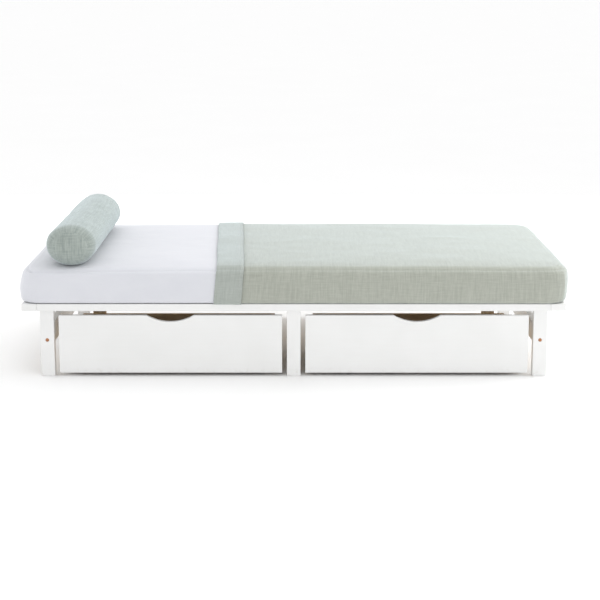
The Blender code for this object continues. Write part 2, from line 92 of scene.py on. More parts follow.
# The bolster as it lies: wider and lower than its round form, and a little sunk in
BOLSTER_SPREAD = 1.125
BOLSTER_FLATTENED = 0.935
BOLSTER_SINK = 0.0105
BOLSTER_SHIFT_X = 0.0018
BOLSTER_END_PLAY = 0.004
SEAM_SHARE = 0.74
SEAM_DEPTH = 0.0016
SEAM_WIDTH = 0.004
DOME = 0.066
DOME_POWER = 0.82
REST_DEPTH = 0.0035
REST_KEPT = 0.35
SETTLE_FLOOR = 0.0012
SETTLE_CAP = 0.0045

# Screws in the castor plates
SCREW_SIDES = 24
SCREW_SEAT = 0.0028
SCREW_SPREAD = 0.011
SCREW_DROP = 0.0055

# Weaves and prints, in metres; a band texture of scale s repeats every BAND_REPEAT / s
BAND_REPEAT = 0.314
COTTON_THREAD = 0.0009
LINEN_THREAD = 0.0016
STITCH_SPACING = 0.005
STRIPE_SPACING = 0.05
QUILT_SPACING = 0.22

FLOOR_HALF = 300
FLOOR_DROP = 0.0004


def linked(name, data):
    """A new object that holds data, in the scene."""
    made = bpy.data.objects.new(name, data)
    bpy.context.scene.collection.objects.link(made)
    return made


# Shader helpers


class Finish:
    """A material under construction: a node tree round one Principled shader."""

    def __init__(self, name, use_uv=False):
        self.material = bpy.data.materials.new(name)
        self.material.use_nodes = True
        self.tree = self.material.node_tree
        self.shader = self.tree.nodes["Principled BSDF"]
        source = self.tree.nodes.new("ShaderNodeTexCoord")
        self.coords = source.outputs["UV" if use_uv else "Object"]

    def add(self, kind, **settings):
        made = self.tree.nodes.new(kind)
        for key, value in settings.items():
            setattr(made, key, value)
        return made

    def feed(self, target, value):
        if isinstance(value, bpy.types.NodeSocket):
            self.tree.links.new(value, target)
        else:
            target.default_value = value

    def stretched(self, scale, turn=(0.0, 0.0, 0.0)):
        mapping = self.add("ShaderNodeMapping")
        self.feed(mapping.inputs["Vector"], self.coords)
        mapping.inputs["Scale"].default_value = scale
        mapping.inputs["Rotation"].default_value = turn
        return mapping.outputs["Vector"]

    def noise(self, scale, vector=None, detail=3.0, roughness=0.55, distortion=0.0):
        made = self.add("ShaderNodeTexNoise")
        self.feed(made.inputs["Vector"], self.coords if vector is None else vector)
        made.inputs["Scale"].default_value = scale
        made.inputs["Detail"].default_value = detail
        made.inputs["Roughness"].default_value = roughness
        made.inputs["Distortion"].default_value = distortion
        return made.outputs["Fac"]

    def wave(self, scale, direction, vector=None, distortion=0.0, detail=1.0):
        made = self.add("ShaderNodeTexWave", wave_type="BANDS", bands_direction=direction)
        self.feed(made.inputs["Vector"], self.coords if vector is None else vector)
        made.inputs["Scale"].default_value = scale
        made.inputs["Distortion"].default_value = distortion
        made.inputs["Detail"].default_value = detail
        return made.outputs["Fac"]

    def math(self, operation, first, second=0.0, clamp=False):
        made = self.add("ShaderNodeMath", operation=operation, use_clamp=clamp)
        self.feed(made.inputs[0], first)
        self.feed(made.inputs[1], second)
        return made.outputs[0]

    def spread(self, value, low, high, to_low=0.0, to_high=1.0):
        made = self.add("ShaderNodeMapRange")
        self.feed(made.inputs["Value"], value)
        for key, number in (
            ("From Min", low), ("From Max", high), ("To Min", to_low), ("To Max", to_high)
        ):
            made.inputs[key].default_value = number
        return made.outputs["Result"]

    def mix(self, factor, first, second, blend="MIX"):
        made = self.add("ShaderNodeMix", data_type="RGBA", blend_type=blend)
        self.feed(made.inputs["Factor"], factor)
        for key, colour in (("A", first), ("B", second)):
            socket = [s for s in made.inputs if s.name == key and s.type == "RGBA"][0]
            if isinstance(colour, tuple):
                colour = (*colour, 1.0)
            self.feed(socket, colour)
        return [s for s in made.outputs if s.type == "RGBA"][0]

    def bump(self, height, distance, strength=1.0, before=None):
        made = self.add("ShaderNodeBump")
        made.inputs["Distance"].default_value = distance
        made.inputs["Strength"].default_value = strength
        self.feed(made.inputs["Height"], height)
        if before is not None:
            self.feed(made.inputs["Normal"], before)
        return made.outputs["Normal"]

    def done(self, colour=None, roughness=None, normal=None, **constants):
        for key, value in (("Base Color", colour), ("Roughness", roughness), ("Normal", normal)):
            if value is not None:
                if isinstance(value, tuple):
                    value = (*value, 1.0)
                self.feed(self.shader.inputs[key], value)
        for key, value in constants.items():
            self.shader.inputs[key.replace("_", " ").title()].default_value = value
        return self.material


def painted(name, grain):
    """Satin white paint on planed wood: faint grain and roller texture, scuffs near the floor."""
    f = Finish(name)
    scale = [38.0, 38.0, 38.0]
    scale[grain] = 2.2
    telegraphed = f.noise(3.0, f.stretched(scale), 4.0, 0.6)
    cloud = f.noise(5.0, detail=2.0)
    roller = f.noise(520.0, detail=2.0)
    height = f.add("ShaderNodeSeparateXYZ")
    f.feed(height.inputs[0], f.coords)
    low_down = f.spread(height.outputs["Z"], 0.0, 0.035, 1.0, 0.0)
    scuffs = f.spread(f.noise(60.0, detail=5.0, roughness=0.7), 0.52, 0.66)
    scuffed = f.math("MULTIPLY", f.math("MULTIPLY", low_down, scuffs), 0.35, True)
    base = f.mix(f.spread(cloud, 0.35, 0.65), (0.835, 0.838, 0.830), (0.865, 0.867, 0.861))
    grained = f.mix(f.spread(telegraphed, 0.42, 0.7, 0.0, 0.10), base, (0.78, 0.77, 0.74))
    colour = f.mix(scuffed, grained, (0.50, 0.46, 0.40))
    rough = f.math("ADD", f.spread(telegraphed, 0.3, 0.7, 0.34, 0.46),
                   f.math("MULTIPLY", scuffed, 0.4))
    normal = f.bump(telegraphed, 0.0005, 0.12)
    normal = f.bump(roller, 0.0002, 0.10, normal)
    return f.done(colour, rough, normal, coat_weight=0.12, coat_roughness=0.35)


def bare(name, grain, light, dark, ring_scale=9.0, gloss=0.55):
    """Planed bare wood with growth rings, pores and a few darker streaks along the grain."""
    f = Finish(name)
    scale = [1.0, 1.0, 1.0]
    scale[grain] = 0.055
    along = f.stretched(scale)
    across = "XYZ"[(grain + 1) % 3]
    rings = f.wave(ring_scale, across, along, 3.2, 2.5)
    fibres_scale = [420.0, 420.0, 420.0]
    fibres_scale[grain] = 11.0
    fibres = f.noise(1.0, f.stretched(fibres_scale), 4.0, 0.6)
    patches = f.noise(26.0, along, 4.0, 0.6, 0.4)
    tone = f.math("ADD", f.math("MULTIPLY", rings, 0.5), f.math("MULTIPLY", patches, 0.6))
    base = f.mix(f.spread(tone, 0.25, 0.85), dark, light)
    colour = f.mix(f.spread(fibres, 0.56, 0.75, 0.0, 0.45), base, tuple(0.55 * v for v in dark))
    rough = f.spread(fibres, 0.3, 0.7, gloss - 0.06, gloss + 0.14)
    normal = f.bump(fibres, 0.0004, 0.25)
    normal = f.bump(rings, 0.0005, 0.08, normal)
    return f.done(colour, rough, normal)


def hardboard(name):
    """Smooth brown fibreboard with darker fibre flecks."""
    f = Finish(name)
    flecks = f.noise(240.0, f.stretched((1.0, 0.45, 1.0), (0.0, 0.0, 0.5)), 5.0, 0.7)
    clouds = f.noise(9.0, detail=3.0)
    base = f.mix(f.spread(clouds, 0.3, 0.7), (0.20, 0.125, 0.07), (0.29, 0.19, 0.11))
    colour = f.mix(f.spread(flecks, 0.5, 0.7, 0.0, 0.6), base, (0.10, 0.06, 0.035))
    normal = f.bump(flecks, 0.0003, 0.2)
    return f.done(colour, f.spread(flecks, 0.3, 0.7, 0.42, 0.62), normal)


def metal(name, bright, dull, roughness, scale, direction):
    """Plated steel: brushed along one direction, with duller spots in the plating."""
    f = Finish(name)
    brushed = f.noise(scale, f.stretched(direction), 3.0, 0.6)
    spots = f.noise(scale * 0.12, detail=4.0, roughness=0.7)
    colour = f.mix(f.spread(spots, 0.4, 0.68), bright, dull)
    rough = f.math("ADD", f.spread(brushed, 0.3, 0.7, roughness - 0.08, roughness + 0.1),
                   f.spread(spots, 0.45, 0.7, 0.0, 0.18))
    return f.done(colour, rough, f.bump(brushed, 0.0001, 0.25), metallic=1.0)


def plastic(name):
    """Moulded grey plastic with a fine grain and dusty treads."""
    f = Finish(name)
    grain = f.noise(900.0, detail=2.0)
    dust = f.noise(70.0, detail=5.0, roughness=0.7)
    colour = f.mix(f.spread(dust, 0.45, 0.75, 0.0, 0.5), (0.085, 0.087, 0.092), (0.24, 0.23, 0.21))
    return f.done(colour, f.spread(dust, 0.35, 0.75, 0.40, 0.72), f.bump(grain, 0.0002, 0.2))


def cotton(name, colour_low, colour_high):
    """Smooth percale in sheet coordinates: fine plain weave, soft pressed-in creases."""
    f = Finish(name, use_uv=True)
    pitch = BAND_REPEAT / (2 * COTTON_THREAD)
    weave = f.math("MULTIPLY", f.wave(pitch, "X"), f.wave(pitch, "Y"))
    slack = f.noise(7.0, f.stretched((1.0, 1.8, 1.0)), 5.0, 0.55, 0.5)
    creases = f.noise(3.2, f.stretched((1.0, 2.4, 1.0), (0.0, 0.0, 0.6)), 7.0, 0.6, 0.9)
    yarn = f.noise(1.0, f.stretched((1500.0, 60.0, 1.0)), 2.0)
    tone = f.math("ADD", f.math("MULTIPLY", slack, 0.6), f.math("MULTIPLY", yarn, 0.4))
    colour = f.mix(f.spread(tone, 0.35, 0.65), colour_low, colour_high)
    normal = f.bump(creases, 0.010, 0.22)
    normal = f.bump(slack, 0.006, 0.18, normal)
    normal = f.bump(weave, 0.0002, 0.25, normal)
    return f.done(colour, f.spread(yarn, 0.3, 0.7, 0.78, 0.92), normal,
                  sheen_weight=0.18, sheen_roughness=0.45)


def linen(name, light, dark, contrast=1.0, hem=None):
    """Slubby linen in sheet coordinates, with uneven yarns; hem is a stitch line's place in X."""
    f = Finish(name, use_uv=True)
    pitch = BAND_REPEAT / (2 * LINEN_THREAD)
    wobble = f.noise(60.0, detail=2.0)
    lifted = f.add("ShaderNodeVectorMath", operation="ADD")
    offset = f.add("ShaderNodeCombineXYZ")
    f.feed(offset.inputs[0], f.math("MULTIPLY", wobble, 0.0010))
    f.feed(offset.inputs[1], f.math("MULTIPLY", wobble, 0.0007))
    f.feed(lifted.inputs[0], f.coords)
    f.feed(lifted.inputs[1], offset.outputs[0])
    place = lifted.outputs[0]
    warp = f.wave(pitch, "X", place)
    weft = f.wave(pitch, "Y", place)
    warp_slubs = f.noise(1.0, f.stretched((210.0, 14.0, 1.0)), 4.0, 0.68)
    weft_slubs = f.noise(1.0, f.stretched((16.0, 230.0, 1.0)), 4.0, 0.68)
    warp_bands = f.noise(1.0, f.stretched((75.0, 4.0, 1.0)), 2.0)
    clouds = f.noise(4.5, detail=3.0)
    slubs = f.math("ADD", f.math("MULTIPLY", warp_slubs, 0.5), f.math("MULTIPLY", weft_slubs, 0.35))
    slubs = f.math("ADD", slubs, f.math("MULTIPLY", warp_bands, 0.15))
    half = 0.095 / contrast
    tone = f.spread(slubs, 0.5 - half, 0.5 + half)
    tone = f.math("ADD", f.math("MULTIPLY", tone, 0.85), f.math("MULTIPLY", clouds, 0.15))
    colour = f.mix(tone, dark, light)
    threads = f.math("MULTIPLY", warp, weft)
    colour = f.mix(f.spread(threads, 0.0, 0.5, 0.10, 0.0), colour, tuple(0.5 * v for v in dark))
    normal = f.bump(clouds, 0.010, 0.12)
    if hem is not None:
        parts = f.add("ShaderNodeSeparateXYZ")
        f.feed(parts.inputs[0], f.coords)
        off = f.math("ABSOLUTE", f.math("SUBTRACT", parts.outputs["X"], hem))
        line = f.spread(off, 0.0, 0.0012, 1.0, 0.0)
        dashes = f.spread(f.wave(BAND_REPEAT / STITCH_SPACING, "Y"), 0.35, 0.55)
        stitches = f.math("MULTIPLY", line, dashes)
        colour = f.mix(stitches, colour, tuple(min(1.0, 1.3 * v) for v in light))
        normal = f.bump(line, 0.0012, 0.7, normal)
    normal = f.bump(slubs, 0.0008, 0.55, normal)
    normal = f.bump(threads, 0.0004, 0.45, normal)
    return f.done(colour, f.spread(slubs, 0.3, 0.7, 0.82, 0.97), normal,
                  sheen_weight=0.75, sheen_roughness=0.42, sheen_tint=(0.85, 0.95, 1.0, 1.0))


def ticking(name):
    """Woven mattress ticking with narrow grey-blue stripes and a quilted diamond relief."""
    f = Finish(name, use_uv=True)
    stripe = f.spread(f.wave(BAND_REPEAT / STRIPE_SPACING, "X"), 0.86, 0.93)
    fine = f.noise(1.0, f.stretched((900.0, 900.0, 1.0)), 2.0)
    one = f.wave(BAND_REPEAT / QUILT_SPACING, "DIAGONAL")
    two = f.wave(BAND_REPEAT / QUILT_SPACING, "DIAGONAL", f.stretched((-1.0, 1.0, 1.0)))
    quilt = f.math("MULTIPLY", f.math("POWER", one, 0.35), f.math("POWER", two, 0.35))
    base = f.mix(f.spread(fine, 0.3, 0.7), (0.66, 0.65, 0.62), (0.76, 0.75, 0.71))
    colour = f.mix(stripe, base, (0.30, 0.36, 0.42))
    normal = f.bump(quilt, 0.008, 0.6)
    normal = f.bump(fine, 0.0003, 0.4, normal)
    return f.done(colour, f.spread(fine, 0.3, 0.7, 0.8, 0.95), normal, sheen_weight=0.2)


# Finishes on the CAD pieces

GRAIN = {"x": 0, "y": 1, "z": 2}
PAINT = {axis: painted(f"white_paint_{axis}", i) for axis, i in GRAIN.items()}
PINE = {axis: bare(f"pine_{axis}", i, (0.66, 0.50, 0.31), (0.50, 0.34, 0.18))
        for axis, i in GRAIN.items() if axis != "z"}
BROWN = {axis: bare(f"brown_wood_{axis}", i, (0.80, 0.63, 0.43), (0.60, 0.44, 0.28), 13.0, 0.6)
         for axis, i in GRAIN.items() if axis != "z"}
# The drawer stops get a lighter copy of the brown wood: painted light that brightens them where
# they sit in shade under the deck.
STOP_WOOD_PAINTED_LIGHT = bare("stop_wood_painted_light", GRAIN["z"], (0.90, 0.75, 0.54), (0.74, 0.58, 0.38), 13.0, 0.6)
BOARD = hardboard("hardboard")
COPPER = metal("copper_plating", (0.62, 0.30, 0.16), (0.34, 0.17, 0.10), 0.34, 700.0,
               (1.0, 0.1, 1.0))
ZINC = metal("zinc_plating", (0.66, 0.66, 0.64), (0.42, 0.42, 0.42), 0.36, 900.0, (1.0, 1.0, 0.08))
PLASTIC = plastic("castor_plastic")

CAD_FINISHES = (
    ("side_rail", PAINT["x"]),
    ("end_board", PAINT["y"]),
    ("cross_rail", PAINT["y"]),
    ("leg_", PAINT["z"]),
    ("drawer_front", PAINT["x"]),
    ("bearer", PINE["x"]),
    ("slat", PINE["y"]),
    ("drawer_stop", STOP_WOOD_PAINTED_LIGHT),
    ("drawer_back", BROWN["x"]),
    ("head_side", BROWN["y"]),
    ("foot_side", BROWN["y"]),
    ("drawer_bottom", BOARD),
    ("bolt_", COPPER),
    ("castor", ZINC),
    ("wheel", PLASTIC),
)
SOFT_NODES = ("mattress", "fitted_sheet", "cover", "bolster")
for name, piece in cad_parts.items():
    if name in SOFT_NODES:
        continue
    finish = next(m for key, m in CAD_FINISHES if key in name)
    piece.data.materials.clear()
    piece.data.materials.append(finish)


# Soft forms

sheet_low, sheet_high = (Vector(v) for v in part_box("fitted_sheet"))
cover_low = Vector(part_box("cover")[0])
CENTRE = (sheet_low + sheet_high) / 2
HALF = (sheet_high - sheet_low) / 2 - Vector((0.001, 0.001, 0.001))
HEAD_EDGE = cover_low.x - CENTRE.x
bolster_low, bolster_high = (Vector(v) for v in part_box("bolster"))
BOLSTER_X = (bolster_low.x + bolster_high.x) / 2 - CENTRE.x


def rounded(points):
    """Points on a box's surface moved onto the rounded form, and the outward normals there."""
    plan, up = points[:, :2], points[:, 2]
    size = np.array(HALF)
    rim = np.where(up > 0, TOP_RIM, BOTTOM_RIM)
    core = np.clip(plan, -(size[:2] - CORNER_RADIUS), size[:2] - CORNER_RADIUS)
    away = plan - core
    square = np.abs(away).max(axis=1)
    round_ = np.hypot(away[:, 0], away[:, 1])
    outward = away / np.maximum(round_, 1e-9)[:, None]
    plan = core + outward * square[:, None]
    edge = np.minimum(size[0] - np.abs(points[:, 0]), size[1] - np.abs(points[:, 1]))
    side = np.clip(rim - edge, 0.0, rim)
    rise = np.clip(rim - (size[2] - np.abs(up)), 0.0, rim)
    reach = np.maximum(np.hypot(side, rise), 1e-9)
    keep = np.maximum(side, rise) / reach
    plan = plan - outward * (side * (1.0 - keep))[:, None]
    level = np.sign(up) * (np.abs(up) - rise * (1.0 - keep))
    normals = np.column_stack([outward * (side / reach)[:, None], np.sign(up) * rise / reach])
    return np.column_stack([plan, level]), normals


def field(points, scale, seed, octaves=3):
    """Smooth noise at each point, about -1 to 1, stretched by a scale for each axis."""
    offset = Vector((17.3 * seed, 5.1 * seed, -9.7 * seed))
    values = [
        noise.fractal(Vector((p[0] * scale[0], p[1] * scale[1], p[2] * scale[2])) + offset,
                      0.8, 2.0, octaves)
        for p in points
    ]
    return np.array(values)


def plump(points):
    """How far the mattress's own softness moves each point: crowned top, slightly full sides."""
    x, y, z = points[:, 0] / HALF.x, points[:, 1] / HALF.y, points[:, 2] / HALF.z
    moved = np.zeros_like(points)
    top = np.clip(z, 0, 1) ** 4
    moved[:, 2] += top * CROWN * (1 - x**4) * (1 - y**4)
    moved[:, 2] -= top * TOP_EDGE_DROP * (np.abs(x) ** 14 + np.abs(y) ** 8)
    moved[:, 2] -= top * FRONT_EDGE_DROP * np.clip(-y, 0, 1) ** 7
    belly = BELLY * np.clip(1 - z * z, 0, 1)
    moved[:, 0] += belly * np.sign(x) * np.abs(x) ** 20
    moved[:, 1] += belly * np.sign(y) * np.abs(y) ** 10
    rough = field(points, (2.6, 2.9, 3.5), 1)
    moved[:, 2] += top * TOP_WAVES * rough
    moved[:, 1] += SIDE_WAVES * rough * np.sign(y) * np.abs(y) ** 10
    head = np.clip(-x, 0, 1)
    moved[:, 0] += HEAD_LEAN * np.clip((z + 0.4) / 1.4, 0, 1) ** 1.3 * head**16
    moved[:, 2] -= top * (HEAD_DROP * head**5 + HEAD_FRONT_DROP * np.clip(-y, 0, 1) ** 6 * head)
    under_bolster = np.exp(-(((points[:, 0] - BOLSTER_X) / BOLSTER_DENT_REACH) ** 2))
    dent = top * BOLSTER_DENT * under_bolster
    moved[:, 2] -= dent * np.clip(1 - ((y + 0.2) / 0.85) ** 8, 0, 1)
    return moved


def on_mattress(points, lift):
    """Points of a box laid on the plump mattress, each lifted off it by its own amount."""
    base, normals = rounded(points)
    return base + plump(points) + normals * lift[:, None] + np.array(CENTRE)


def ticks(half, cell, rim):
    """Positions along one axis of the box grid: evenly spaced, and closer together at the rims."""
    fine = [half - rim * i / 6 for i in range(6)]
    count = max(2, round(2 * (half - rim) / cell))
    middle = [-half + rim + 2 * (half - rim) * i / count for i in range(count + 1)]
    return [-v for v in fine] + middle + fine[::-1]


X_TICKS = ticks(HALF.x, CELL, 1.3 * TOP_RIM)
Y_TICKS = ticks(HALF.y, CELL, 1.3 * TOP_RIM)
Z_TICKS = ticks(HALF.z, CELL * 0.8, 1.15 * TOP_RIM)


def box_faces(xs, ys, zs, sides, tuck=None):
    """Quads on the named sides of a box grid, as grid indices and sheet coordinates in metres."""
    nx, ny, nz = len(xs) - 1, len(ys) - 1, len(zs) - 1
    limit_x, limit_y = (HALF.x - tuck, HALF.y - tuck) if tuck else (-1.0, -1.0)
    faces = []

    def quad(corners, coordinates, flip):
        if flip:
            corners, coordinates = corners[::-1], coordinates[::-1]
        faces.append((corners, coordinates))

    for side in sides:
        if side in ("top", "bottom"):
            k = nz if side == "top" else 0
            for i in range(nx):
                for j in range(ny):
                    cx, cy = (xs[i] + xs[i + 1]) / 2, (ys[j] + ys[j + 1]) / 2
                    if side == "bottom" and tuck and abs(cx) < limit_x and abs(cy) < limit_y:
                        continue
                    idx = [(i, j, k), (i + 1, j, k), (i + 1, j + 1, k), (i, j + 1, k)]
                    if side == "top":
                        uv = [(xs[a], ys[b]) for a, b, _ in idx]
                    else:
                        sign = 1 if cy > 0 else -1
                        uv = [(xs[a], sign * (2 * HALF.y + 2 * HALF.z - abs(ys[b])))
                              for a, b, _ in idx]
                    quad(idx, uv, side == "bottom")
        elif side in ("front", "back"):
            j = 0 if side == "front" else ny
            for i in range(nx):
                for k in range(nz):
                    idx = [(i, j, k), (i + 1, j, k), (i + 1, j, k + 1), (i, j, k + 1)]
                    sign = -1 if side == "front" else 1
                    uv = [(xs[a], sign * (HALF.y + HALF.z - zs[c])) for a, _, c in idx]
                    quad(idx, uv, side == "back")
        else:
            i = 0 if side == "head" else nx
            for j in range(ny):
                for k in range(nz):
                    idx = [(i, j, k), (i, j + 1, k), (i, j + 1, k + 1), (i, j, k + 1)]
                    sign = -1 if side == "head" else 1
                    uv = [(sign * (HALF.x + HALF.z - zs[c]), ys[b]) for _, b, c in idx]
                    quad(idx, uv, side == "head")
    return faces


def new_piece(name, mesh, body, material):
    """A mesh in the scene as a smooth piece that rides on a body and is made of one material."""
    piece = linked(name, mesh)
    mesh.materials.append(material)
    for polygon in mesh.polygons:
        polygon.use_smooth = True
    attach(piece, body)
    return piece


def cloth_mesh(name, faces, place):
    """A mesh from grid faces: place turns the grid indices into positions in one call."""
    keys = sorted({key for corners, _ in faces for key in corners})
    number = {key: n for n, key in enumerate(keys)}
    positions = place(keys)
    mesh = bpy.data.meshes.new(name)
    mesh.from_pydata([tuple(p) for p in positions], [],
                     [[number[key] for key in corners] for corners, _ in faces])
    layer = mesh.uv_layers.new(name="cloth")
    flat = [value for _, uv in faces for pair in uv for value in pair]
    layer.data.foreach_set("uv", flat)
    mesh.update()
    return mesh


def give_thickness(piece, thickness, offset=1.0):
    solid = piece.modifiers.new("thickness", "SOLIDIFY")
    solid.thickness = thickness
    solid.offset = offset
    solid.use_quality_normals = True


def grid_points(keys, xs=X_TICKS):
    return np.array([(xs[i], Y_TICKS[j], Z_TICKS[k]) for i, j, k in keys])


def make_mattress():
    """The mattress itself, just inside the fitted sheet."""
    sides = ("top", "bottom", "front", "back", "head", "foot")
    faces = box_faces(X_TICKS, Y_TICKS, Z_TICKS, sides)

    def place(keys):
        points = grid_points(keys)
        return on_mattress(points, np.full(len(points), -CORE_INSET))

    mesh = cloth_mesh("mattress_core", faces, place)
    piece = new_piece("mattress_core", mesh, "mattress", ticking("mattress_ticking"))
    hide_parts("mattress")


def pulls(points, seed):
    """Soft folds that run from a fitted sheet's corners towards its middle."""
    total = np.zeros(len(points))
    for n, (sx, sy) in enumerate(((-1, -1), (-1, 1), (1, -1), (1, 1))):
        away = points[:, :2] - np.array([sx * (HALF.x - 0.04), sy * (HALF.y - 0.04)])
        reach = np.hypot(away[:, 0], away[:, 1])
        angle = np.arctan2(away[:, 1] * -sy, away[:, 0] * -sx)
        wave = np.sin(angle * 9.0 + 2.4 * n + seed + 1.5 * np.sin(reach * 9.0))
        total += np.exp(-((reach / 0.26) ** 2)) * np.clip(reach / 0.10, 0, 1) * wave
    return total


def make_sheet():
    """The fitted sheet over the mattress, open underneath inside its tuck."""
    sides = ("top", "front", "back", "head", "foot", "bottom")
    faces = box_faces(X_TICKS, Y_TICKS, Z_TICKS, sides, TUCK)

    def place(keys):
        points = grid_points(keys)
        z = points[:, 2] / HALF.z
        lift = np.full(len(points), SHEET_LIFT)
        soft = field(points, (5.0, 6.5, 9.0), 2)
        fine = field(points, (16.0, 9.0, 14.0), 3)
        top = np.clip(z, 0, 1) ** 6
        lift += top * np.clip(0.0006 * pulls(points, 0.7) + 0.0011 * soft + 0.0003 * fine, 0, 1)
        wall = np.clip(1 - z * z, 0, 1)
        ripple = field(points, (13.0, 13.0, 1.3), 4)
        lift += wall * np.clip(0.0012 * ripple + 0.0010 * fine + 0.0006, 0, 1)
        lift += np.clip(-z, 0, 1) ** 5 * 0.0004
        return on_mattress(points, lift)

    mesh = cloth_mesh("sheet", faces, place)
    white = cotton("sheet_cotton", (0.69, 0.70, 0.745), (0.72, 0.73, 0.77))
    piece = new_piece("sheet", mesh, "mattress", white)
    give_thickness(piece, SHEET_THICKNESS)
    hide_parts("fitted_sheet")
    return piece, white


def make_sheet_hem(white):
    """The elastic in its casing round the sheet's opening, under the mattress."""
    inner_x, inner_y = HALF.x - TUCK + HEM_INSET, HALF.y - TUCK + HEM_INSET
    radius = HEM_CORNER_RADIUS
    path = []
    for cx, cy, start in ((1, 1, 0), (-1, 1, 90), (-1, -1, 180), (1, -1, 270)):
        for step in range(9):
            angle = math.radians(start + step * 90 / 8)
            path.append((cx * (inner_x - radius) + radius * math.cos(angle),
                         cy * (inner_y - radius) + radius * math.sin(angle)))
    dense = []
    for a, b in zip(path, path[1:] + path[:1]):
        length = math.dist(a, b)
        count = max(1, round(length / HEM_STEP))
        dense += [(a[0] + (b[0] - a[0]) * n / count, a[1] + (b[1] - a[1]) * n / count)
                  for n in range(count)]
    curve = bpy.data.curves.new("sheet_hem", "CURVE")
    curve.dimensions = "3D"
    curve.bevel_depth = HEM_RADIUS
    curve.bevel_resolution = 3
    spline = curve.splines.new("POLY")
    spline.points.add(len(dense) - 1)
    spline.use_cyclic_u = True
    floor = sheet_low.z + 0.0008
    for n, (x, y) in enumerate(dense):
        wobble = 0.0012 * math.sin(n * 1.9) + 0.0008 * math.sin(n * 0.61)
        spline.points[n].co = (CENTRE.x + x + wobble, CENTRE.y + y - wobble, floor, 1.0)
    piece = linked("sheet_hem", curve)
    curve.materials.append(white)
    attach(piece, "mattress")
    return piece


def head_line(points):
    """How far the cover's head edge lies from straight across, by where it is on the girth."""
    y, z = points[:, 1] / HALF.y, points[:, 2] / HALF.z
    line = 0.024 - 0.020 * (1 + y)
    drop = np.clip((1 - z) / 2, 0, 1)
    line -= 0.012 * drop * np.clip(-y, 0, 1) ** 6
    line -= 0.010 * drop * np.clip(y, 0, 1) ** 6
    return line + 0.0012 * np.sin(y * 7.0 + 0.4)


